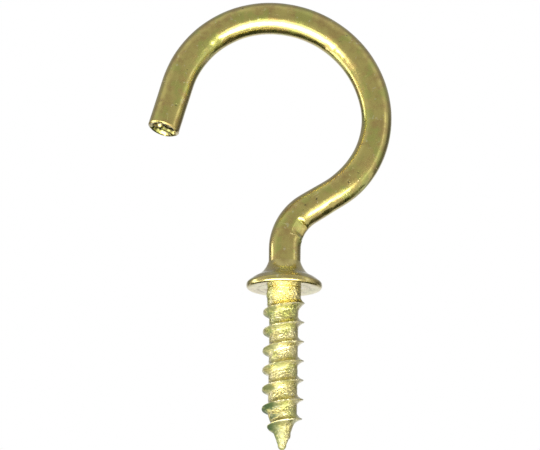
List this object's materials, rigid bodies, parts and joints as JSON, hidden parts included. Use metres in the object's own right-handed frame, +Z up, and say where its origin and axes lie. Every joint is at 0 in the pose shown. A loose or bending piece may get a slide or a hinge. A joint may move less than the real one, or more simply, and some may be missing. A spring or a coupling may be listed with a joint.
{
  "type": "cup hook",
  "caption": "Shouldered screw-in cup hook: a round open hook bent in wire, with a flanged collar and a wood-screw thread, brass plated.",
  "frame": {"origin": "centre of the shoulder's flat underside, which beds on the wood", "axes": "+Z up the shank, away from the screw; the hook lies in the XZ plane, with its round back on +X and its open mouth on -X"},
  "size_m": [0.0211, 0.0066, 0.0395],
  "materials": {
    "plated_wire": "polished",
    "plated_collar": "polished"
  },
  "bodies": {
    "root": {"hook_wire": "plated_wire", "shoulder_collar": "plated_collar"}
  },
  "joints": []
}
